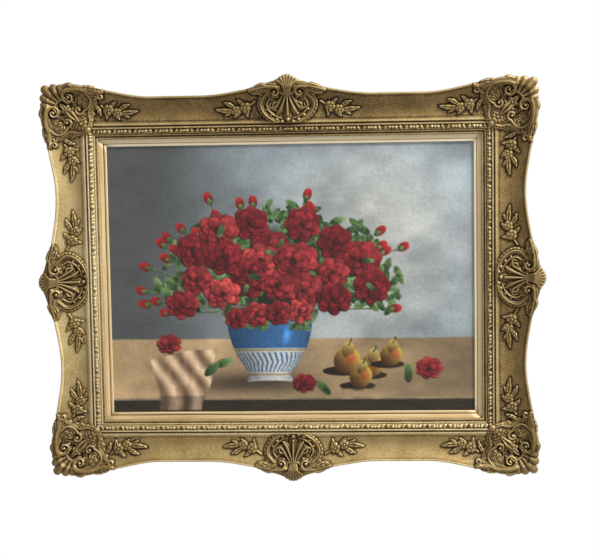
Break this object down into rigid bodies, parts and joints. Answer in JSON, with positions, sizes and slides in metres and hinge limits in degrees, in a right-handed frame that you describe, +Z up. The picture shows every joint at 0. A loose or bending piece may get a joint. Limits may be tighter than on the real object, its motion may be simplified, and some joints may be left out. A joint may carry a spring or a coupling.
{
  "type": "framed oil painting",
  "caption": "Landscape-format still life in oils on a stretched canvas, in a swept rococo gilt frame with cast scroll ornaments, flower sprays and a pale slip",
  "frame": {"origin": "on the wall plane, on the back of the top rail at its middle, 45 mm above the edge of the visible picture", "axes": "+X to the viewer's right along the rails, +Y into the wall, +Z up; the painted front faces -Y"},
  "size_m": [1.088, 0.0792, 0.875],
  "materials": {
    "gilt": "antique oil gilding on gesso, toned brown, worn bright on the high points",
    "cast_gilt": "antique gilding on cast composition, umber in the hollows",
    "slip_gilt": "pale cream-gold leaf, satin",
    "oil_paint": "oil paint on primed linen, soft sheen; raw linen behind",
    "pine": "raw pine"
  },
  "bodies": {
    "root": {"rail_top": "gilt", "rail_right": "gilt", "rail_bottom": "gilt", "rail_left": "gilt", "slip_top": "slip_gilt", "slip_right": "slip_gilt", "slip_bottom": "slip_gilt", "slip_left": "slip_gilt", "centre_ornament_top": "cast_gilt", "centre_ornament_right": "cast_gilt", "centre_ornament_bottom": "cast_gilt", "centre_ornament_left": "cast_gilt", "corner_ornament_top_right": "cast_gilt", "corner_ornament_bottom_right": "cast_gilt", "corner_ornament_bottom_left": "cast_gilt", "corner_ornament_top_left": "cast_gilt", "spray_top_centre_a": "cast_gilt", "spray_top_centre_b": "cast_gilt", "spray_top_corner_a": "cast_gilt", "spray_top_corner_b": "cast_gilt", "spray_right_centre_a": "cast_gilt", "spray_right_centre_b": "cast_gilt", "spray_right_corner_a": "cast_gilt", "spray_right_corner_b": "cast_gilt", "spray_bottom_centre_a": "cast_gilt", "spray_bottom_centre_b": "cast_gilt", "spray_bottom_corner_a": "cast_gilt", "spray_bottom_corner_b": "cast_gilt", "spray_left_centre_a": "cast_gilt", "spray_left_centre_b": "cast_gilt", "spray_left_corner_a": "cast_gilt", "spray_left_corner_b": "cast_gilt", "canvas": "oil_paint", "stretcher_top": "pine", "stretcher_right": "pine", "stretcher_bottom": "pine", "stretcher_left": "pine", "stretcher_key_top_a": "pine", "stretcher_key_top_b": "pine", "stretcher_key_right_a": "pine", "stretcher_key_right_b": "pine", "stretcher_key_bottom_a": "pine", "stretcher_key_bottom_b": "pine", "stretcher_key_left_a": "pine", "stretcher_key_left_b": "pine"}
  },
  "joints": []
}
